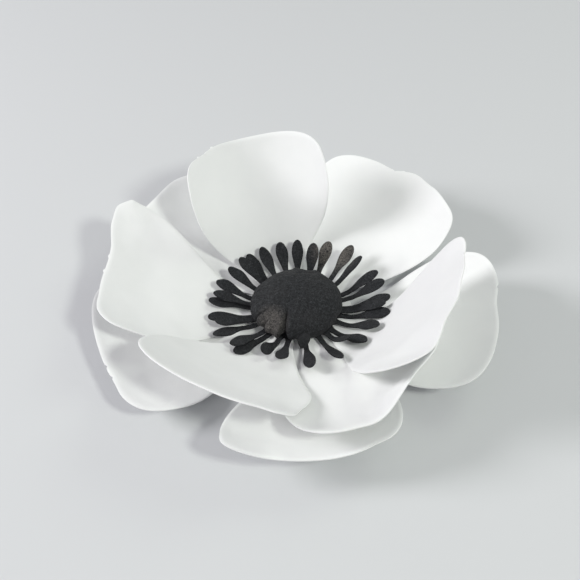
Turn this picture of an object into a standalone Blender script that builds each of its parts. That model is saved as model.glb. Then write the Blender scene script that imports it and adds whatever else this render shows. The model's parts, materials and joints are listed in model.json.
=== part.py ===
# A paper anemone: ten white card petals in two layers on a round card base,
# two black fringed rings of stamens, and a black paper-covered dome in the middle.
# Metres, +Z up. The origin is the centre of the base's underside.

import math

import bmesh
import bpy
from mathutils import Matrix, Vector

MM = 0.001

# Paper and glue
CARD = 0.30 * MM
BLACK_CARD = 0.25 * MM
GLUE_GAP = 0.30 * MM

# Base disc, which every petal is glued to
BASE_RADIUS = 14.0 * MM
BASE_SIDES = 48

# Petal template: one flat outline for all ten petals, measured from the flower's axis.
# The sides open out like a fan from a narrow foot to the shoulders, and the tip is a
# squared round with one shallow dip. Angles are in degrees.
PETAL_LENGTH = 51.0 * MM
PETAL_WIDTH = 42.0 * MM
PETAL_FOOT = 3.5 * MM
FOOT_ANGLE = 28.0
SHOULDER = 38.0 * MM
SIDE_SWELL = 1.9
TIP_SQUARENESS = 3.3
DIP_DEPTH = 1.3 * MM
DIP_SPREAD = 0.10

# A petal lies flat up to the glue's reach, and from there its rise takes one distance
# to be full and its cup a longer one
GLUE_MARGIN = 2.0 * MM
BEND_REACH = 14.0 * MM
CUP_REACH = 22.0 * MM
LIP_START = 0.8

PETAL_COLUMNS = 16
PETAL_ROWS = 9
COLUMN_SPREAD = 2.2
SPINE_STEP = 0.5 * MM

# Each petal as it was bent and glued. azimuth: the way it points. lift: its slope past the
# bend. curl: how much steeper its tip is. left, right: how far its two sides curl up.
# lean: its sideways tilt. dip: where its tip dips, from -1 at the right to 1 at the left.
# right_corner, left_corner: how much squarer its tip's corner is than the template's, 0 to 1.
OUTER_PETALS = {
    "outer_petal_right": dict(azimuth=-13, lift=11, curl=18, left=22, right=16, lean=4, dip=0.26),
    "outer_petal_back_right": dict(azimuth=54, lift=18, curl=15, left=10, right=18, lean=0, dip=-0.05),
    "outer_petal_back_left": dict(azimuth=129, lift=14, curl=8, left=16, right=14, lean=0, dip=0.62),
    "outer_petal_left": dict(azimuth=202, lift=7, curl=10, left=16, right=20, lean=-3, dip=0.39),
    "outer_petal_front": dict(
        azimuth=274, lift=10, curl=12, left=26, right=24, lean=0, dip=0.62, right_corner=0.6
    ),
}
INNER_PETALS = {
    "inner_petal_back": dict(azimuth=110, lift=48, curl=4, left=46, right=66, lean=0, dip=0.68),
    "inner_petal_left": dict(
        azimuth=175, lift=21, curl=4, left=34, right=26, lean=-5, dip=0.52, right_corner=0.9
    ),
    "inner_petal_front_left": dict(azimuth=242, lift=34, curl=8, left=6, right=14, lean=0, dip=0.62),
    "inner_petal_front_right": dict(azimuth=297, lift=20, curl=18, left=58, right=26, lean=5, dip=-0.52),
    "inner_petal_right": dict(
        azimuth=331, lift=48, curl=10, left=22, right=16, lean=3, dip=0.68, left_corner=0.5
    ),
}
UPPER_SEAT_PETALS = ("inner_petal_back", "inner_petal_front_left", "inner_petal_right")
OUTER_LIP = 0.5 * MM
INNER_LIP = 0.3 * MM

# Centre dome, a little oval, and glued slightly off the flower's axis
DOME_CENTRE = (-0.4 * MM, -0.8 * MM, 0.0)
DOME_OVALNESS = 0.03
DOME_LONG_WAY = 30.0
DOME_RADIUS = 11.5 * MM
DOME_HEIGHT = 7.0 * MM
DOME_WAIST = 1.2 * MM
DOME_SEGMENTS = 72
DOME_RINGS = 14

# Where the dome's paper is tucked in: the way each crease faces, its depth, its width in
# degrees, and how much of the way to the top it runs
DOME_TUCKS = (
    dict(azimuth=253, depth=1.2, width=4.0, run=0.70),
    dict(azimuth=236, depth=0.6, width=4.0, run=0.40),
    dict(azimuth=221, depth=0.8, width=5.0, run=0.45),
    dict(azimuth=204, depth=0.5, width=5.0, run=0.35),
    dict(azimuth=272, depth=0.4, width=5.0, run=0.30),
    dict(azimuth=340, depth=0.3, width=6.0, run=0.25),
    dict(azimuth=75, depth=0.3, width=6.0, run=0.25),
)

# Stamen rings: a disc with paddle-shaped stamens, cut as one piece. The disc hides under
# the dome, and the stamens rise as soon as they are clear of it.
RING_CENTRE = (0.2 * MM, -0.8 * MM, 0.0)
RING_TUCK = 2.0 * MM
STALK_WIDTH = 1.3 * MM
STAMEN_LENGTH = 12.9 * MM
HEAD_WIDTH = 3.3 * MM
HEAD_LENGTH = 7.7 * MM
STAMEN_CLEARANCE = 0.5 * MM
STAMEN_BEND_REACH = 3.0 * MM
HEAD_DROOP = 8.0
STALK_STEPS = 4
HEAD_STEPS = 6
HEAD_FULLEST = 0.55

# Each stamen: the way it points, how much longer it is in millimetres, how steeply it
# rises before its head droops, and how far its head is twisted
LOWER_STAMENS = (
    (3, 1.3, 27, 0),
    (25, 0.8, 30, 0),
    (52, 1.6, 31, 0),
    (68, 0.5, 34, 0),
    (91, -0.5, 40, 20),
    (129, -0.5, 26, 0),
    (147, -0.2, 28, 0),
    (162, 0.3, 26, 0),
    (176, 0.5, 16, 0),
    (191, 0.8, 18, 0),
    (205, 0.9, 15, 10),
    (227, 0.2, 21, 0),
    (243, -2.4, 46, -20),
    (278, -1.2, 24, 20),
    (299, -1.1, 27, -15),
    (321, -0.6, 31, 0),
    (350, 1.2, 27, 15),
)
UPPER_STAMENS = (
    (15, 0.8, 27, 0),
    (41, 0.3, 29, -55),
    (77, -1.5, 58, 0),
    (104, -0.8, 32, 0),
    (118, -0.9, 30, 0),
    (136, -0.4, 30, 0),
    (173, -0.2, 26, 0),
    (198, -0.3, 25, 0),
    (221, 0.0, 26, 0),
    (256, -1.7, 44, 0),
    (274, -1.0, 58, 0),
    (310, -1.8, 52, 0),
    (335, 0.2, 33, 0),
    (356, 0.2, 32, 0),
)

# Colours
WHITE_CARD_COLOUR = (0.86, 0.87, 0.86, 1.0)
WHITE_CARD_ROUGHNESS = 0.75
BLACK_CARD_COLOUR = (0.018, 0.019, 0.021, 1.0)
BLACK_CARD_ROUGHNESS = 0.85
SHARP_EDGE = 40.0


def ease(x, start, end):
    """Rises smoothly from 0 at start to 1 at end."""
    share = min(1.0, max(0.0, (x - start) / (end - start)))
    return share * share * (3.0 - 2.0 * share)


def paper_material(name, colour, roughness):
    material = bpy.data.materials.new(name)
    material.use_nodes = True
    shader = material.node_tree.nodes["Principled BSDF"]
    shader.inputs["Base Color"].default_value = colour
    shader.inputs["Roughness"].default_value = roughness
    shader.inputs["Metallic"].default_value = 0.0
    return material


def clear_scene():
    for obj in list(bpy.data.objects):
        bpy.data.objects.remove(obj)


def add_object(name, mesh_builder, material, collection):
    """Turns a bmesh into a named object that carries the material."""
    mesh = bpy.data.meshes.new(name)
    mesh_builder.to_mesh(mesh)
    mesh_builder.free()
    mesh.materials.append(material)
    obj = bpy.data.objects.new(name, mesh)
    collection.objects.link(obj)
    return obj


def give_thickness(obj, thickness):
    """The modelled sheet is the underside, and the paper lies above it."""
    shell = obj.modifiers.new("paper_thickness", "SOLIDIFY")
    shell.thickness = thickness
    shell.offset = 1.0


def shade_smooth(obj):
    obj.data.shade_smooth()
    obj.data.set_sharp_from_angle(angle=math.radians(SHARP_EDGE))


# Petals


def tip_reach(petal, aside):
    """How far out the flat tip reaches, from -1 at its right shoulder to 1 at its left."""
    squarer = petal.get("right_corner" if aside < 0.0 else "left_corner", 0.0)
    shoulder = SHOULDER + squarer * (PETAL_LENGTH - SHOULDER)
    forward = (1.0 - abs(aside) ** TIP_SQUARENESS) ** (1.0 / TIP_SQUARENESS)
    dip = DIP_DEPTH * math.exp(-(((aside - petal["dip"]) / DIP_SPREAD) ** 2))
    return shoulder + (PETAL_LENGTH - shoulder - dip) * forward


def side_half_width(share):
    """Half the flat petal's width, from its foot at 0 to its shoulders at 1."""
    foot = PETAL_FOOT * math.tan(math.radians(FOOT_ANGLE))
    swell = math.sin(math.pi / 2 * share) ** SIDE_SWELL
    return foot + (PETAL_WIDTH / 2 - foot) * swell


def flat_petal_point(petal, column, share):
    """A point of the flat petal: column runs from -1 at its right side to 1 at its left, and
    share from 0 at the foot to 1 at the tip, where the columns crowd towards the shoulders."""
    at_tip = math.copysign(1.0 - (1.0 - abs(column)) ** COLUMN_SPREAD, column)
    aside = column + (at_tip - column) * share * share
    along = PETAL_FOOT + (tip_reach(petal, at_tip) - PETAL_FOOT) * share
    return along, aside * side_half_width(share)


def petal_slope(petal, along):
    glued = BASE_RADIUS - GLUE_MARGIN
    rise = petal["lift"] * ease(along, glued, glued + BEND_REACH)
    curl = petal["curl"] * ease(along, glued + BEND_REACH, PETAL_LENGTH)
    return math.radians(rise + curl)


def spine_point(petal, along):
    """Radius and height of the petal's centre line, at a distance along the paper."""
    travelled = BASE_RADIUS - GLUE_MARGIN
    if along <= travelled:
        return along, 0.0
    radius, height = travelled, 0.0
    while travelled < along:
        stride = min(SPINE_STEP, along - travelled)
        slope = petal_slope(petal, travelled + stride / 2)
        radius += stride * math.cos(slope)
        height += stride * math.sin(slope)
        travelled += stride
    return radius, height


def across_arc(petal, along, across):
    """Sideways distance and height on the cupped and leaning cross-section."""
    glued = BASE_RADIUS - GLUE_MARGIN
    fullness = ease(along, glued, glued + CUP_REACH)
    cup = petal["left"] if across > 0 else petal["right"]
    lean = math.radians(petal["lean"]) * fullness
    bend = math.radians(cup) * fullness / (PETAL_WIDTH / 2)
    if bend == 0.0:
        return across, 0.0
    turned = lean + bend * across
    aside = (math.sin(turned) - math.sin(lean)) / bend
    raised = (math.cos(lean) - math.cos(turned)) / bend
    return aside, raised


def bent_petal_point(petal, level, lip, column, share):
    """A point of the petal as it stands in the flower."""
    along, across = flat_petal_point(petal, column, share)
    radius, height = spine_point(petal, along)
    slope = petal_slope(petal, along)
    aside, raised = across_arc(petal, along, across)
    raised += lip * ease(share, LIP_START, 1.0)
    outward = radius - raised * math.sin(slope)
    upward = level + height + raised * math.cos(slope)
    return Matrix.Rotation(math.radians(petal["azimuth"]), 3, "Z") @ Vector((outward, aside, upward))


def build_petal(name, petal, level, lip, material, collection):
    """A grid over the petal's outline, bent into shape and given its thickness."""
    sheet = bmesh.new()
    columns = [2.0 * step / PETAL_COLUMNS - 1.0 for step in range(PETAL_COLUMNS + 1)]
    rows = []
    for row in range(PETAL_ROWS + 1):
        share = row / PETAL_ROWS
        points = [bent_petal_point(petal, level, lip, column, share) for column in columns]
        rows.append([sheet.verts.new(point) for point in points])
    for near, far in zip(rows, rows[1:]):
        for step in range(PETAL_COLUMNS):
            sheet.faces.new((near[step], far[step], far[step + 1], near[step + 1]))
    obj = add_object(name, sheet, material, collection)
    give_thickness(obj, CARD)
    shade_smooth(obj)


def build_petals(level, collection, material):
    """Both layers from the base up. Returns the level of whatever lies on them."""
    pitch = CARD + GLUE_GAP
    for name, petal in OUTER_PETALS.items():
        build_petal(name, petal, level, OUTER_LIP, material, collection)
    level += pitch
    for name, petal in INNER_PETALS.items():
        seat = level + pitch if name in UPPER_SEAT_PETALS else level
        build_petal(name, petal, seat, INNER_LIP, material, collection)
    return level + 2 * pitch


# Stamens


def head_half_width(share):
    """Half-width of the paddle-shaped head, from the stalk at 0 to its rounded end at 1."""
    if share < HEAD_FULLEST:
        return STALK_WIDTH / 2 + (HEAD_WIDTH - STALK_WIDTH) / 2 * ease(share, 0.0, HEAD_FULLEST)
    beyond = (share - HEAD_FULLEST) / (1.0 - HEAD_FULLEST)
    return HEAD_WIDTH / 2 * math.sqrt(max(0.0, 1.0 - beyond * beyond))


def stamen_stations(length):
    """Distance from the ring's rim and half-width at each step along a flat stamen."""
    stalk = length - HEAD_LENGTH
    stations = [(stalk * step / STALK_STEPS, STALK_WIDTH / 2) for step in range(1, STALK_STEPS + 1)]
    for step in range(1, HEAD_STEPS + 1):
        share = math.sin(math.pi / 2 * step / HEAD_STEPS)
        stations.append((stalk + HEAD_LENGTH * share, head_half_width(share)))
    return stations


def stamen_slope(rise, distance, length):
    """Flat until it is clear of the dome, then rising, and less steep along its head."""
    clear = RING_TUCK + STAMEN_CLEARANCE
    raised = rise * ease(distance, clear, clear + STAMEN_BEND_REACH)
    return math.radians(raised - HEAD_DROOP * ease(distance, length - HEAD_LENGTH, length))


def stamen_cross_line(radius, height, slope, half_width, twist):
    """The right edge, middle and left edge of a stamen at one place along it."""
    middle = Vector((radius, 0.0, height))
    across = Vector((-math.sin(slope) * math.sin(twist), math.cos(twist), math.cos(slope) * math.sin(twist)))
    return [middle - half_width * across, middle, middle + half_width * across]


def stamen_cross_lines(level, longer, rise, twist):
    """The cross lines along a stamen as it stands, from the ring's rim to its tip."""
    length = STAMEN_LENGTH + longer * MM
    radius, height, travelled = DOME_RADIUS - RING_TUCK, level, 0.0
    lines = []
    for distance, half_width in stamen_stations(length):
        stride = distance - travelled
        slope = stamen_slope(rise, travelled + stride / 2, length)
        radius += stride * math.cos(slope)
        height += stride * math.sin(slope)
        travelled = distance
        turned = math.radians(twist) * ease(distance, STAMEN_CLEARANCE, length - HEAD_LENGTH / 2)
        lines.append(stamen_cross_line(radius, height, slope, half_width, turned))
    return lines


def build_stamen_ring(name, level, stamens, material, collection):
    """A flat disc whose rim is drawn out into stamens, each bent up at its own slope."""
    ring = bmesh.new()
    root_radius = DOME_RADIUS - RING_TUCK
    half_root = math.degrees(math.asin(STALK_WIDTH / 2 / root_radius))
    roots = []
    for azimuth, longer, rise, twist in stamens:
        spokes = [math.radians(azimuth + side * half_root) for side in (-1, 0, 1)]
        points = [Matrix.Rotation(spoke, 3, "Z") @ Vector((root_radius, 0, level)) for spoke in spokes]
        roots.append([ring.verts.new(point) for point in points])
    ring.faces.new([vert for root in roots for vert in root])
    for near, (azimuth, longer, rise, twist) in zip(roots, stamens):
        turn = Matrix.Rotation(math.radians(azimuth), 3, "Z")
        lines = stamen_cross_lines(level, longer, rise, twist)
        for points in lines[:-1]:
            far = [ring.verts.new(turn @ point) for point in points]
            ring.faces.new((near[0], far[0], far[1], near[1]))
            ring.faces.new((near[1], far[1], far[2], near[2]))
            near = far
        tip = ring.verts.new(turn @ lines[-1][1])
        ring.faces.new((near[0], tip, near[1]))
        ring.faces.new((near[1], tip, near[2]))
    bmesh.ops.translate(ring, vec=RING_CENTRE, verts=ring.verts)
    obj = add_object(name, ring, material, collection)
    give_thickness(obj, BLACK_CARD)
    shade_smooth(obj)


# Base and dome


def build_base_disc(material, collection):
    disc = bmesh.new()
    bmesh.ops.create_cone(
        disc,
        cap_ends=True,
        segments=BASE_SIDES,
        radius1=BASE_RADIUS,
        radius2=BASE_RADIUS,
        depth=CARD,
        matrix=Matrix.Translation((0, 0, CARD / 2)),
    )
    obj = add_object("base_disc", disc, material, collection)
    shade_smooth(obj)


def tuck_depth(azimuth, radius):
    """How far the dome's creases draw its surface in."""
    depth = 0.0
    for tuck in DOME_TUCKS:
        apart = (azimuth - tuck["azimuth"] + 180.0) % 360.0 - 180.0
        nearness = math.exp(-((apart / tuck["width"]) ** 2))
        start = DOME_RADIUS * (1.0 - tuck["run"])
        depth += tuck["depth"] * MM * nearness * ease(radius, start, DOME_RADIUS)
    return depth


def build_dome(level, material, collection):
    """The upper part of a flattened sphere, cut flat where it is glued, with its rim tucked in."""
    dome = bmesh.new()
    bmesh.ops.create_uvsphere(dome, u_segments=DOME_SEGMENTS, v_segments=DOME_RINGS, radius=1.0)
    bmesh.ops.scale(dome, vec=(DOME_RADIUS, DOME_RADIUS, DOME_HEIGHT - DOME_WAIST), verts=dome.verts)
    bmesh.ops.translate(dome, vec=(0, 0, level + DOME_WAIST), verts=dome.verts)
    cut = bmesh.ops.bisect_plane(
        dome,
        geom=dome.verts[:] + dome.edges[:] + dome.faces[:],
        plane_co=(0, 0, level),
        plane_no=(0, 0, -1),
        clear_outer=True,
    )
    rim = [part for part in cut["geom_cut"] if isinstance(part, bmesh.types.BMEdge)]
    bmesh.ops.contextual_create(dome, geom=rim)
    for vert in dome.verts:
        radius = math.hypot(vert.co.x, vert.co.y)
        if radius > 0.0:
            azimuth = math.degrees(math.atan2(vert.co.y, vert.co.x))
            oval = DOME_OVALNESS * math.cos(2.0 * math.radians(azimuth - DOME_LONG_WAY))
            outwards = 1.0 + oval - tuck_depth(azimuth, radius) / radius
            vert.co.x *= outwards
            vert.co.y *= outwards
    bmesh.ops.translate(dome, vec=DOME_CENTRE, verts=dome.verts)
    obj = add_object("centre_dome", dome, material, collection)
    shade_smooth(obj)


def main():
    clear_scene()
    flower = bpy.data.collections.new("paper_flower")
    bpy.context.scene.collection.children.link(flower)
    white = paper_material("white_card", WHITE_CARD_COLOUR, WHITE_CARD_ROUGHNESS)
    black = paper_material("black_card", BLACK_CARD_COLOUR, BLACK_CARD_ROUGHNESS)

    build_base_disc(white, flower)
    level = build_petals(CARD + GLUE_GAP, flower, white)
    build_stamen_ring("stamen_ring_lower", level, LOWER_STAMENS, black, flower)
    level += BLACK_CARD + GLUE_GAP
    build_stamen_ring("stamen_ring_upper", level, UPPER_STAMENS, black, flower)
    level += BLACK_CARD + GLUE_GAP
    build_dome(level, black, flower)


main()
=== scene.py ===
# Handmade paper anemone: white card petals, black paper stamens and a black paper button
import json
import math

import bpy
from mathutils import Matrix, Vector
from mathutils.kdtree import KDTree

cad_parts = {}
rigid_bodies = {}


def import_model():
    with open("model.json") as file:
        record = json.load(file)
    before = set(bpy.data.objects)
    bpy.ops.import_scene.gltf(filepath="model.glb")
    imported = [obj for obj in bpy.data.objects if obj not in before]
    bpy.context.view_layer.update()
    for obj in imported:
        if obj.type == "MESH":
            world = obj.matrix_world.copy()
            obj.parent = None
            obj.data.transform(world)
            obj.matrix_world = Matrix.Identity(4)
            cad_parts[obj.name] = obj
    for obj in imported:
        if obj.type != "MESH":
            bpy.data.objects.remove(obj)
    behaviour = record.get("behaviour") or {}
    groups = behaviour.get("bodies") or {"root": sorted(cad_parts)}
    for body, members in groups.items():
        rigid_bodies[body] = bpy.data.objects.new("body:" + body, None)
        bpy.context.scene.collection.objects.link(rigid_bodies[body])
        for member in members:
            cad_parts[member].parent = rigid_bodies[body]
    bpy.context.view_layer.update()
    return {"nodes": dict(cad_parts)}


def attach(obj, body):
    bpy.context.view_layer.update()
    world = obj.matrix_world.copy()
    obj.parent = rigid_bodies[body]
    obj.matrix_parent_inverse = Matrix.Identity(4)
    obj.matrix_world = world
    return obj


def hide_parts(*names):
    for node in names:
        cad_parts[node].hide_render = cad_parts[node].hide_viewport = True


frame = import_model()
mm = 0.001


# small helpers

def pick(piece):
    if bpy.context.object and bpy.context.object.mode != "OBJECT":
        bpy.ops.object.mode_set(mode="OBJECT")
    bpy.ops.object.select_all(action="DESELECT")
    piece.select_set(True)
    bpy.context.view_layer.objects.active = piece


def markPoints(piece, wanted):
    # selects the points whose place is wanted and leaves edit mode on
    pick(piece)
    bpy.ops.object.mode_set(mode="EDIT")
    bpy.ops.mesh.select_mode(type="VERT")
    bpy.ops.mesh.select_all(action="DESELECT")
    bpy.ops.object.mode_set(mode="OBJECT")
    for point in piece.data.vertices:
        point.select = wanted(point.co)
    bpy.ops.object.mode_set(mode="EDIT")


def turn(angle, axis, centre):
    # with no window the rotate operator turns the other way round
    bpy.ops.transform.rotate(
        value=-math.radians(angle), orient_axis=axis, orient_type="GLOBAL", center_override=centre,
    )


def addModifier(piece, kind, **settings):
    modifier = piece.modifiers.new(kind.lower(), kind)
    for setting, value in settings.items():
        setattr(modifier, setting, value)
    pick(piece)
    bpy.ops.object.modifier_apply(modifier=modifier.name)


def smooth(piece, levels):
    addModifier(piece, "SUBSURF", levels=levels, render_levels=levels)


def easeIn(value, start, end):
    # rises smoothly from 0 at start to 1 at end
    share = min(1.0, max(0.0, (value - start) / (end - start)))
    return share * share * (3 - 2 * share)


def weighPoints(piece, name, weigh):
    # a vertex group whose weights come from each point's place
    group = piece.vertex_groups.new(name=name)
    for point in piece.data.vertices:
        group.add([point.index], min(1.0, max(0.0, weigh(point.co))), "REPLACE")
    return group.name


def freeFromGlue(start, end):
    # 0 where the paper is glued down, 1 where it is free
    return lambda place: easeIn(math.hypot(place.x, place.y), start, end)


def cloudTexture(name, size, depth=2):
    texture = bpy.data.textures.new(name, "CLOUDS")
    texture.noise_scale = size
    texture.noise_depth = depth
    return texture


def ruffle(piece, texture, height, middle, **settings):
    # the surface goes out where the texture is above middle, and in where it is below
    addModifier(
        piece, "DISPLACE", texture=texture, texture_coords="LOCAL",
        strength=height, mid_level=middle, **settings,
    )


def raiseWhere(piece, weigh, height):
    # the surface goes out by its weight's share of height, or in where height is negative
    group = weighPoints(piece, "raised", weigh)
    addModifier(piece, "DISPLACE", strength=height, mid_level=0, vertex_group=group)
    piece.vertex_groups.clear()


# materials

# which of a Mix node's sockets work on colours
mixShare = 0
mixUnder = 6
mixOver = 7
mixResult = 2

paperGrain = {
    "pulpDetail": 3,
    "fibreDetail": 4,
    "fibreBreak": 0.65,
    "roughnessSpread": 0.06,
    "sheenRoughness": 0.6,
}

# a painted glint: the window lamp's reflection in the black paper, painted into its colour
glintPainting = {
    "core": 0.3,          # share of the reach that takes the whole painted glint
    "fibreFrom": 0.36,    # fibres lower than this are missed
    "fibreTo": 0.74,      # fibres higher than this take the whole painted glint
}


def addNoise(nodes, links, place, settings):
    noise = nodes.new("ShaderNodeTexNoise")
    for socket, number in settings.items():
        noise.inputs[socket].default_value = number
    links.new(place, noise.inputs["Vector"])
    return noise.outputs["Fac"]


def addRange(nodes, links, value, start, end, low=0, high=1, kind="LINEAR"):
    # runs from low to high as value runs from start to end
    mapped = nodes.new("ShaderNodeMapRange")
    mapped.interpolation_type = kind
    for socket, number in (("From Min", start), ("From Max", end), ("To Min", low), ("To Max", high)):
        mapped.inputs[socket].default_value = number
    links.new(value, mapped.inputs["Value"])
    return mapped.outputs["Result"]


def mixTones(nodes, links, share, under, over):
    # goes from under to over with share; each is a plain tone or another node's output
    mix = nodes.new("ShaderNodeMix")
    mix.data_type = "RGBA"
    links.new(share, mix.inputs[mixShare])
    for socket, colour in ((mixUnder, under), (mixOver, over)):
        if isinstance(colour, tuple):
            mix.inputs[socket].default_value = (*colour, 1)
        else:
            links.new(colour, mix.inputs[socket])
    return mix.outputs[mixResult]


def addPaintedGlint(nodes, links, place, fibres, under, rub):
    # a painted reflection of the window lamp: a paler patch that fades out over its reach and takes best
    # on the raised fibres
    away = nodes.new("ShaderNodeVectorMath")
    away.operation = "DISTANCE"
    away.inputs[1].default_value = rub["place"]
    links.new(place, away.inputs[0])
    core = rub["reach"] * glintPainting["core"]
    fade = addRange(nodes, links, away.outputs["Value"], rub["reach"], core, kind="SMOOTHSTEP")
    raised = addRange(nodes, links, fibres, glintPainting["fibreFrom"], glintPainting["fibreTo"])
    glintShare = nodes.new("ShaderNodeMath")
    glintShare.operation = "MULTIPLY"
    links.new(fade, glintShare.inputs[0])
    links.new(raised, glintShare.inputs[1])
    return mixTones(nodes, links, glintShare.outputs["Value"], under, rub["tone"])


def paperMaterial(name, look):
    material = bpy.data.materials.new(name)
    material.use_nodes = True
    nodes, links = material.node_tree.nodes, material.node_tree.links
    shader = nodes["Principled BSDF"]
    place = nodes.new("ShaderNodeTexCoord").outputs["Object"]

    # broad unevenness of the pulp
    pulp = addNoise(nodes, links, place, {
        "Scale": look["pulpScale"],
        "Detail": paperGrain["pulpDetail"],
    })
    shown = mixTones(nodes, links, pulp, look["tone"], look["otherTone"])

    # fibres: fine noise, pulled out of true so that it curls
    fibres = addNoise(nodes, links, place, {
        "Scale": look["fibreScale"],
        "Detail": paperGrain["fibreDetail"],
        "Roughness": paperGrain["fibreBreak"],
        "Distortion": look["fibreCurl"],
    })
    fibreShare = addRange(nodes, links, fibres, look["fibreFrom"], look["fibreTo"])
    shown = mixTones(nodes, links, fibreShare, shown, look["fibreTone"])
    # painted reflection of the window lamp, where the look asks for one
    if "rub" in look:
        shown = addPaintedGlint(nodes, links, place, fibres, shown, look["rub"])
    links.new(shown, shader.inputs["Base Color"])

    smoothest = look["roughness"] - paperGrain["roughnessSpread"]
    roughest = look["roughness"] + paperGrain["roughnessSpread"]
    links.new(addRange(nodes, links, pulp, 0, 1, smoothest, roughest), shader.inputs["Roughness"])

    bump = nodes.new("ShaderNodeBump")
    bump.inputs["Strength"].default_value = look["tooth"]
    bump.inputs["Distance"].default_value = look["toothHeight"]
    links.new(fibres, bump.inputs["Height"])
    links.new(bump.outputs["Normal"], shader.inputs["Normal"])
    shader.inputs["Specular IOR Level"].default_value = look["gloss"]
    if "sheen" in look:
        shader.inputs["Sheen Weight"].default_value = look["sheen"]
        shader.inputs["Sheen Roughness"].default_value = paperGrain["sheenRoughness"]
        shader.inputs["Sheen Tint"].default_value = (*look["sheenTone"], 1)
    return material


whiteCard = paperMaterial("whiteCard", {
    "tone": (0.87, 0.875, 0.865),
    "otherTone": (0.84, 0.85, 0.845),
    "pulpScale": 260,
    "fibreScale": 2600,
    "fibreCurl": 0.8,
    "fibreFrom": 0.62,
    "fibreTo": 0.9,
    "fibreTone": (0.80, 0.805, 0.80),
    "roughness": 0.78,
    "tooth": 0.25,
    "toothHeight": 0.03 * mm,
    "gloss": 0.3,
})

# the cut edge is a little paler than the card's face: a painted highlight along the rims
cutEdge = paperMaterial("cutEdge", {
    "tone": (0.90, 0.90, 0.89),
    "otherTone": (0.88, 0.885, 0.88),
    "pulpScale": 900,
    "fibreScale": 5200,
    "fibreCurl": 0.4,
    "fibreFrom": 0.6,
    "fibreTo": 0.95,
    "fibreTone": (0.82, 0.82, 0.81),
    "roughness": 0.9,
    "tooth": 0.4,
    "toothHeight": 0.03 * mm,
    "gloss": 0.2,
})

blackLook = {
    "tone": (0.0058, 0.0078, 0.0098),
    "otherTone": (0.0155, 0.0150, 0.0165),
    "pulpScale": 420,
    "fibreScale": 2300,
    "fibreCurl": 1.2,
    "fibreFrom": 0.46,
    "fibreTo": 0.70,
    "fibreTone": (0.044, 0.046, 0.050),
    "roughness": 0.80,
    "tooth": 1.0,
    "toothHeight": 0.12 * mm,
    "gloss": 0.16,
    "sheen": 0.03,
    "sheenTone": (0.95, 0.93, 0.92),
}
# the stamens at the back right are painted paler and browner: a painted reflection of the window lamp on
# their heads
blackPaper = paperMaterial("blackPaper", {
    **blackLook,
    "rub": {"place": (9.4 * mm, 16.2 * mm, 7.0 * mm), "reach": 7.5 * mm, "tone": (0.21, 0.19, 0.168)},
})
blackEdge = paperMaterial("blackEdge", {
    **blackLook,
    "fibreTone": (0.016, 0.016, 0.017),
    "sheen": 0.0,
})

# the button's paper, where it was pressed flat at the front left, gets a painted reflection of the
# window lamp too, paler and browner
wrapPaper = paperMaterial("wrapPaper", {
    **blackLook,
    "pulpScale": 150,
    "tone": (0.0020, 0.0035, 0.0050),
    "otherTone": (0.0200, 0.0190, 0.0200),
    "fibreTone": (0.050, 0.053, 0.057),
    "rub": {"place": (-6.6 * mm, -8.4 * mm, 6.6 * mm), "reach": 5.4 * mm, "tone": (0.135, 0.122, 0.112)},
})
print("materials ready")


# copies of the paper nodes, merged into whole quads

copying = {
    "mergeGap": 0.002 * mm,
    "quadBend": 80,       # how far two triangles may bend, in degrees, and still make a quad
    "quadSkew": 120,
    "quadEvenness": 2,
    "sideBend": 50,       # one side of a sheet ends at an edge that bends more than this
}

# how a sheet's cut edge is finished
sheetEdge = {
    "softness": 0.04 * mm,
    "segments": 2,
    "cornerAngle": 50,
    "smoothAngle": 40,
}


def freeCopy(nodeName, pieceName):
    pick(frame["nodes"][nodeName])
    bpy.ops.object.duplicate()
    piece = bpy.context.object
    piece.name = pieceName
    piece.data.name = pieceName
    for key in list(piece.keys()):    # the node's own marks stay with the node
        del piece[key]
    bpy.ops.object.parent_clear(type="CLEAR_KEEP_TRANSFORM")
    bpy.ops.object.mode_set(mode="EDIT")
    bpy.ops.mesh.select_all(action="SELECT")
    bpy.ops.mesh.customdata_custom_splitnormals_clear()
    bpy.ops.mesh.remove_doubles(threshold=copying["mergeGap"])
    bpy.ops.mesh.tris_convert_to_quads(
        face_threshold=math.radians(copying["quadBend"]),
        shape_threshold=math.radians(copying["quadSkew"]),
        topology_influence=copying["quadEvenness"],
    )
    bpy.ops.object.mode_set(mode="OBJECT")
    return piece


def upperSheet(nodeName, pieceName):
    # only the side that faces up is kept
    piece = freeCopy(nodeName, pieceName)
    bpy.ops.object.mode_set(mode="EDIT")
    bpy.ops.mesh.select_mode(type="FACE")
    bpy.ops.mesh.select_all(action="DESELECT")
    bpy.ops.object.mode_set(mode="OBJECT")
    mostUpward = max(piece.data.polygons, key=lambda face: face.normal.z * face.area)
    mostUpward.select = True
    bpy.ops.object.mode_set(mode="EDIT")
    bpy.ops.mesh.faces_select_linked_flat(sharpness=math.radians(copying["sideBend"]))
    bpy.ops.mesh.select_all(action="INVERT")
    bpy.ops.mesh.delete(type="FACE")
    bpy.ops.object.mode_set(mode="OBJECT")
    return piece


def dress(piece, materials, nodeName):
    piece.data.materials.clear()
    for material in materials:
        piece.data.materials.append(material)
    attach(piece, "root")
    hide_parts(nodeName)


def thicken(sheet, thickness):
    # the paper lies below the kept side, and its cut edge takes the second material
    addModifier(sheet, "SOLIDIFY", thickness=thickness, offset=-1, material_offset_rim=1)
    addModifier(
        sheet, "BEVEL", width=sheetEdge["softness"], segments=sheetEdge["segments"],
        limit_method="ANGLE", angle_limit=math.radians(sheetEdge["cornerAngle"]),
    )
    pick(sheet)
    bpy.ops.object.shade_smooth_by_angle(angle=math.radians(sheetEdge["smoothAngle"]))


# petals

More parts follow.
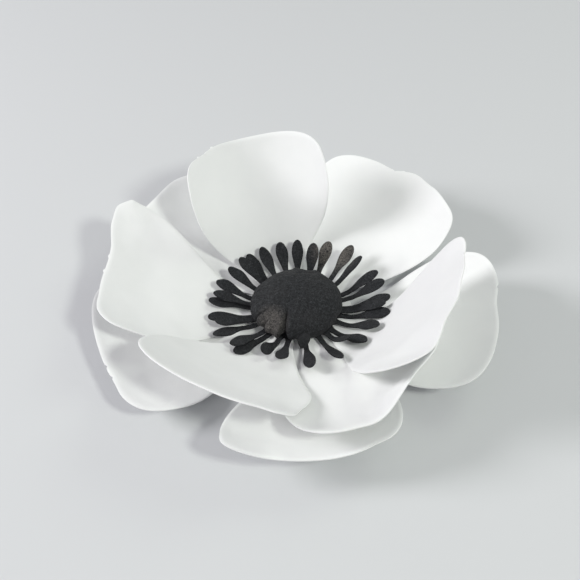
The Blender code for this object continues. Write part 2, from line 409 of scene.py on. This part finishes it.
petalCut = {
    "smoothing": 3,
    "cardThickness": 0.30 * mm,
    "waveHeight": 0.6 * mm,
    "waveLength": 15 * mm,
    "waveMiddle": 0.42,
    "rippleHeight": 0.05 * mm,
    "rippleLength": 5 * mm,
    "rippleMiddle": 0.5,
    "gluedTo": 14 * mm,
    "freeFrom": 34 * mm,
    "rimWidth": 0.9 * mm,
    "rimTurn": 0.20 * mm,
    "samePoint": 0.02 * mm,
}

petalNodes = [
    "outer_petal_right",
    "outer_petal_back_right",
    "outer_petal_back_left",
    "outer_petal_left",
    "outer_petal_front",
    "inner_petal_back",
    "inner_petal_left",
    "inner_petal_front_left",
    "inner_petal_front_right",
    "inner_petal_right",
]

# small burrs and nicks that the punch left on the outlines, in millimetres: a place at the
# rim, how far the rim goes out from the flower's axis there, and how wide it follows
petalNicks = {
    "inner_petal_back": [
        {"place": (-25.2, 28.6, 27.3), "out": 0.45, "reach": 0.7},
        {"place": (-24.2, 30.4, 27.2), "out": -0.35, "reach": 0.8},
        {"place": (-21.9, 33.0, 27.2), "out": 0.5, "reach": 0.7},
    ],
    "inner_petal_left": [
        {"place": (-47.6, 7.0, 14.2), "out": 0.3, "reach": 0.6},
        {"place": (-48.2, 2.4, 13.8), "out": 0.35, "reach": 0.7},
    ],
    "inner_petal_right": [
        {"place": (38.5, -4.2, 27.5), "out": -0.3, "reach": 0.7},
    ],
    "outer_petal_left": [
        {"place": (-44.6, -22.4, 6.9), "out": -0.5, "reach": 1.0},
        {"place": (-43.0, -25.6, 6.8), "out": -0.4, "reach": 0.9},
    ],
    "outer_petal_back_right": [
        {"place": (26.3, 39.6, 13.4), "out": -0.5, "reach": 1.2},
        {"place": (28.4, 38.2, 13.4), "out": 0.35, "reach": 0.8},
    ],
    "outer_petal_right": [
        {"place": (48.6, -1.4, 12.0), "out": -0.45, "reach": 1.0},
    ],
}

# rims and corners that handling bent, as the nicks, and some also go aside, which is
# counterclockwise seen from above, or rise
bentCorners = {
    "inner_petal_left": [
        {"place": (-42.2, 23.3, 18.8), "out": -0.7, "rise": -0.7, "reach": 4.5},
        {"place": (-38.5, 23.2, 16.6), "out": -1.1, "rise": -0.9, "reach": 8.0},
        {"place": (-45.8, 16.5, 17.0), "out": 1.2, "reach": 8.0},
        {"place": (-45.3, 20.8, 18.2), "out": 0.8, "reach": 4.0},
        {"place": (-47.6, 4.5, 14.0), "out": -1.3, "reach": 15.0},
    ],
    "inner_petal_right": [
        {"place": (38.3, -3.0, 27.9), "rise": -1.8, "reach": 9.0},
        {"place": (25.8, -30.9, 26.5), "out": 3.0, "reach": 13.0},
        {"place": (13.6, -28.2, 10.6), "out": -1.8, "reach": 13.0},
        {"place": (33.4, -19.8, 27.4), "out": 1.1, "reach": 8.0},
    ],
    "inner_petal_front_left": [
        {"place": (3.3, -40.0, 13.0), "aside": -2.2, "reach": 11.0},
    ],
    "inner_petal_front_right": [
        {"place": (27.7, -36.7, 18.0), "out": -4.5, "reach": 16.0},
    ],
    "outer_petal_back_left": [
        {"place": (-30.7, 36.5, 9.5), "out": 2.0, "rise": 0.3, "reach": 10.0},
    ],
    "outer_petal_back_right": [
        {"place": (29.6, 36.2, 12.8), "out": 1.6, "rise": 0.4, "reach": 7.0},
        {"place": (37.6, 25.8, 13.5), "out": -1.2, "reach": 8.0},
    ],
}

handWave = cloudTexture("handWave", petalCut["waveLength"])
handRipple = cloudTexture("handRipple", petalCut["rippleLength"], 1)


def camelName(nodeName):
    words = nodeName.split("_")
    return words[0] + "".join(word.capitalize() for word in words[1:])


def rimPoints(sheet):
    # the outline of an open sheet, as a tree to measure from
    used = {}
    for face in sheet.data.polygons:
        for edge in face.edge_keys:
            used[edge] = used.get(edge, 0) + 1
    rim = {corner for edge, times in used.items() if times == 1 for corner in edge}
    tree = KDTree(len(rim))
    for corner in rim:
        tree.insert(sheet.data.vertices[corner].co, corner)
    tree.balance()
    return tree


def rimNearness(sheet):
    # 1 on the rim, and 0 from the rim's width inwards
    tree = rimPoints(sheet)
    return lambda place: max(0.0, 1 - tree.find(place)[2] / petalCut["rimWidth"]) ** 2


def pullRim(petal, pull, falloff):
    spot = rimPoints(petal).find(Vector(pull["place"]) * mm)[0]
    markPoints(petal, lambda place: (place - spot).length < petalCut["samePoint"])
    outward = Vector((spot.x, spot.y, 0)).normalized()
    aside = Vector((-outward.y, outward.x, 0))
    move = (outward * pull.get("out", 0) + aside * pull.get("aside", 0)) * mm
    move.z = pull.get("rise", 0) * mm
    bpy.ops.transform.translate(
        value=move, use_proportional_edit=True, use_proportional_connected=True,
        proportional_edit_falloff=falloff, proportional_size=pull["reach"] * mm,
    )
    bpy.ops.object.mode_set(mode="OBJECT")


def makePetal(nodeName):
    petal = upperSheet(nodeName, camelName(nodeName))
    smooth(petal, petalCut["smoothing"])
    free = weighPoints(petal, "free", freeFromGlue(petalCut["gluedTo"], petalCut["freeFrom"]))
    ruffle(petal, handWave, petalCut["waveHeight"], petalCut["waveMiddle"], vertex_group=free)
    ruffle(petal, handRipple, petalCut["rippleHeight"], petalCut["rippleMiddle"], vertex_group=free)
    # the punch turned the rim down a little all round
    raiseWhere(petal, rimNearness(petal), -petalCut["rimTurn"])
    for corner in bentCorners.get(nodeName, []):
        pullRim(petal, corner, "SMOOTH")
    for nick in petalNicks.get(nodeName, []):
        pullRim(petal, nick, "SHARP")
    dress(petal, [whiteCard, cutEdge], nodeName)
    thicken(petal, petalCut["cardThickness"])


for petalNode in petalNodes:
    makePetal(petalNode)
print("petals cut and bent:", len(petalNodes))


# stamens

stamenCut = {
    "smoothing": 2,
    "paperThickness": 0.25 * mm,
    "flutter": 1.1 * mm,
    "flutterLength": 5 * mm,
    "flutterMiddle": 0.5,
    "flatTo": 12 * mm,
    "freeFrom": 19 * mm,
    "ringMiddle": (0.2 * mm, -0.8 * mm, 0.0),
    "rootHeight": 3.2 * mm,
    "halfShare": 7.0,     # degrees to each side that belong to one stamen
}

# stamens that were pushed out of line: the way they point, how steeply they rise, where the
# bend starts from the ring's centre, and how far they are tilted up and twisted
pushedStamens = {
    "stamensLower": [
        {"azimuth": 225, "rise": 21, "from": 13.5 * mm, "tilt": 0, "twist": -28},
        {"azimuth": 242, "rise": 44, "from": 13.0 * mm, "tilt": -4, "twist": -30},
    ],
    "stamensUpper": [
        {"azimuth": 41, "rise": 29, "from": 13.5 * mm, "tilt": 0, "twist": 26},
        {"azimuth": 274, "rise": 58, "from": 12.9 * mm, "tilt": 24, "twist": 8},
        {"azimuth": 256, "rise": 44, "from": 13.0 * mm, "tilt": -8, "twist": 0},
    ],
}

flutterCloud = cloudTexture("flutterCloud", stamenCut["flutterLength"], 1)


def pushStamen(ring, push):
    # the ring is turned until the stamen points along +X, and back again at the end
    middle = Vector(stamenCut["ringMiddle"])
    markPoints(ring, lambda place: True)
    turn(-push["azimuth"], "Z", middle)

    def onStamen(place):
        away = place - middle
        angle = abs(math.degrees(math.atan2(away.y, away.x)))
        return away.x > push["from"] and angle < stamenCut["halfShare"]

    markPoints(ring, onStamen)
    root = middle + Vector((push["from"], 0, stamenCut["rootHeight"]))
    turn(push["rise"], "Y", root)
    turn(push["twist"], "X", root)
    turn(-push["rise"] - push["tilt"], "Y", root)
    markPoints(ring, lambda place: True)
    turn(push["azimuth"], "Z", middle)
    bpy.ops.object.mode_set(mode="OBJECT")


def makeStamens(nodeName, pieceName):
    ring = upperSheet(nodeName, pieceName)
    for push in pushedStamens[pieceName]:
        pushStamen(ring, push)
    smooth(ring, stamenCut["smoothing"])
    free = weighPoints(ring, "free", freeFromGlue(stamenCut["flatTo"], stamenCut["freeFrom"]))
    ruffle(
        ring, flutterCloud, stamenCut["flutter"], stamenCut["flutterMiddle"],
        direction="Z", vertex_group=free,
    )
    ring.vertex_groups.clear()
    dress(ring, [blackPaper, blackEdge], nodeName)
    thicken(ring, stamenCut["paperThickness"])


makeStamens("stamen_ring_lower", "stamensLower")
makeStamens("stamen_ring_upper", "stamensUpper")
print("stamens fringed")


# the centre button: black paper drawn over a domed middle and folded under

buttonWrap = {
    "smoothing": 3,
    "crumple": 0.55 * mm,
    "crumpleLength": 4.2 * mm,
    "wrinkle": 0.20 * mm,
    "wrinkleLength": 1.2 * mm,
    "creaseMiddle": 0.7,      # above a half, so crumples and wrinkles go in more than out
    "foldDeepens": 0.45,      # share of its length over which a fold reaches its depth
    "foldStops": 1.25,        # how far it runs on, as a share of its length
    "foldFades": 0.1,         # and over how much of it the fold fades before that
    # each fold goes from start to end, seen from above, and its left and right sides have
    # their own widths, all in millimetres
    "folds": [
        {"start": (-2.4, -4.9), "end": (-3.7, -12.6), "depth": 1.35, "left": 0.30, "right": 0.65},
        {"start": (-6.8, -5.7), "end": (-12.2, -5.9), "depth": 0.8, "left": 0.45, "right": 0.20},
        {"start": (-6.9, -7.7), "end": (-11.0, -8.9), "depth": 0.75, "left": 0.20, "right": 0.30},
        {"start": (-8.0, -2.8), "end": (-12.6, -1.8), "depth": 0.35, "left": 0.35, "right": 0.5},
        {"start": (-5.2, -11.0), "end": (-10.2, -9.0), "depth": 0.35, "left": 0.20, "right": 0.30},
        {"start": (3.0, -3.6), "end": (1.0, -9.0), "depth": 0.3, "left": 1.2, "right": 0.4},
        {"start": (-1.8, 5.6), "end": (3.4, 6.8), "depth": 0.35, "left": 0.8, "right": 0.35},
    ],
    # flattened and raised spots, in millimetres
    "spots": [
        {"place": (-6.0, -8.0), "reach": 3.2, "height": -0.40},
        {"place": (-7.9, -10.2), "reach": 2.2, "height": 0.45},
        {"place": (7.5, -6.0), "reach": 4.0, "height": -0.35},
        {"place": (-7.6, 4.8), "reach": 3.4, "height": -0.3},
        {"place": (-0.6, 8.8), "reach": 1.6, "height": 0.35},
        {"place": (4.4, 8.2), "reach": 1.3, "height": 0.3},
        {"place": (-4.9, -11.0), "reach": 1.3, "height": 0.35},
    ],
}


def foldWeight(fold):
    start, end = Vector(fold["start"]) * mm, Vector(fold["end"]) * mm
    run = end - start

    def weigh(place):
        away = place.xy - start
        along = away.dot(run) / run.length_squared
        aside = run.cross(away) / run.length
        width = (fold["left"] if aside > 0 else fold["right"]) * mm
        deepens = easeIn(along, 0, buttonWrap["foldDeepens"])
        fades = easeIn(buttonWrap["foldStops"] - along, 0, buttonWrap["foldFades"])
        return deepens * fades * math.exp(-abs(aside) / width)

    return weigh


def spotWeight(spot):
    middle = Vector(spot["place"]) * mm
    reach = spot["reach"] * mm
    return lambda place: 1 - easeIn((place.xy - middle).length, 0, reach)


def makeButton():
    button = freeCopy("centre_dome", "centreButton")
    smooth(button, buttonWrap["smoothing"])
    for spot in buttonWrap["spots"]:
        raiseWhere(button, spotWeight(spot), spot["height"] * mm)
    crumpleCloud = cloudTexture("crumple", buttonWrap["crumpleLength"])
    ruffle(button, crumpleCloud, buttonWrap["crumple"], buttonWrap["creaseMiddle"])
    for fold in buttonWrap["folds"]:
        raiseWhere(button, foldWeight(fold), -fold["depth"] * mm)
    wrinkleCloud = cloudTexture("wrinkle", buttonWrap["wrinkleLength"])
    ruffle(button, wrinkleCloud, buttonWrap["wrinkle"], buttonWrap["creaseMiddle"])
    dress(button, [wrapPaper], "centre_dome")
    pick(button)
    bpy.ops.object.shade_smooth()


makeButton()
print("centre button wrapped")


# the base disc keeps its solid and takes the card's finish

for cardSlot in frame["nodes"]["base_disc"].material_slots:
    cardSlot.material = whiteCard
print("base disc finished")


# floor, light and camera

room = {
    "pale": (0.62, 0.63, 0.64, 1),
    "paleStrength": 1,
    "floorSize": 12,
    "floorRoughness": 0.9,
    "ambient": (0.95, 0.94, 1.0, 1),
    "ambientStrength": 0.42,
}

lamps = {
    "window": {"place": (-0.56, 0.0, 0.33), "size": 0.22, "power": 2.7, "tone": (1.0, 0.985, 1.0)},
    "bench": {"place": (0.31, -0.31, 0.48), "size": 0.10, "power": 1.60, "tone": (0.96, 1.0, 0.92)},
    "shelf": {"place": (0.36, 0.30, 0.44), "size": 0.30, "power": 0.55, "tone": (0.90, 1.0, 0.84)},
}

photoView = {
    "elevation": 47,
    "distance": 0.25,
    "lens": 62.07,
    "sensor": 36,
    "aim": (-2.0 * mm, 0.0, 3.6 * mm),
    "raise": 3.75 * mm,
    "near": 0.01,
    "far": 50,
}


def addFloor():
    bpy.ops.object.select_all(action="DESELECT")
    bpy.ops.mesh.primitive_plane_add(size=room["floorSize"], location=(0, 0, 0))
    floor = bpy.context.object
    floor.name = "paleFloor"
    material = bpy.data.materials.new("paleFloor")
    material.use_nodes = True
    shader = material.node_tree.nodes["Principled BSDF"]
    shader.inputs["Base Color"].default_value = room["pale"]
    shader.inputs["Roughness"].default_value = room["floorRoughness"]
    floor.data.materials.append(material)


def addLamps():
    for name, lamp in lamps.items():
        bpy.ops.object.light_add(type="AREA", location=lamp["place"])
        light = bpy.context.object
        light.name = name
        light.data.shape = "DISK"
        light.data.size = lamp["size"]
        light.data.energy = lamp["power"]
        light.data.color = lamp["tone"]
        light.rotation_mode = "QUATERNION"
        light.rotation_quaternion = Vector(lamp["place"]).to_track_quat("Z", "Y")


def setWorld():
    # the pale background is seen directly, in gloss and through glass; the rest is room light
    world = bpy.data.worlds.new("room")
    bpy.context.scene.world = world
    world.use_nodes = True
    nodes, links = world.node_tree.nodes, world.node_tree.links
    ambient = nodes["Background"]
    ambient.inputs["Color"].default_value = room["ambient"]
    ambient.inputs["Strength"].default_value = room["ambientStrength"]
    seen = nodes.new("ShaderNodeBackground")
    seen.inputs["Color"].default_value = room["pale"]
    seen.inputs["Strength"].default_value = room["paleStrength"]
    path = nodes.new("ShaderNodeLightPath")
    rays = path.outputs["Is Camera Ray"]
    for otherRay in ("Is Glossy Ray", "Is Transmission Ray"):
        either = nodes.new("ShaderNodeMath")
        either.operation = "MAXIMUM"
        links.new(rays, either.inputs[0])
        links.new(path.outputs[otherRay], either.inputs[1])
        rays = either.outputs["Value"]
    mix = nodes.new("ShaderNodeMixShader")
    links.new(rays, mix.inputs["Fac"])
    links.new(ambient.outputs["Background"], mix.inputs[1])
    links.new(seen.outputs["Background"], mix.inputs[2])
    links.new(mix.outputs["Shader"], nodes["World Output"].inputs["Surface"])


def addCamera():
    tilt = math.radians(photoView["elevation"])
    back = Vector((0, -math.cos(tilt), math.sin(tilt)))
    up = Vector((0, math.sin(tilt), math.cos(tilt)))
    aim = Vector(photoView["aim"]) + up * photoView["raise"]
    bpy.ops.object.camera_add(location=aim + back * photoView["distance"])
    camera = bpy.context.object
    camera.name = "photoCamera"
    camera.rotation_mode = "QUATERNION"
    camera.rotation_quaternion = (-back).to_track_quat("-Z", "Y")
    camera.data.sensor_width = photoView["sensor"]
    camera.data.lens = photoView["lens"]
    camera.data.clip_start = photoView["near"]
    camera.data.clip_end = photoView["far"]
    bpy.context.scene.camera = camera


addFloor()
addLamps()
setWorld()
addCamera()
bpy.context.scene.view_settings.view_transform = "Standard"
print("floor, lamps and camera set")
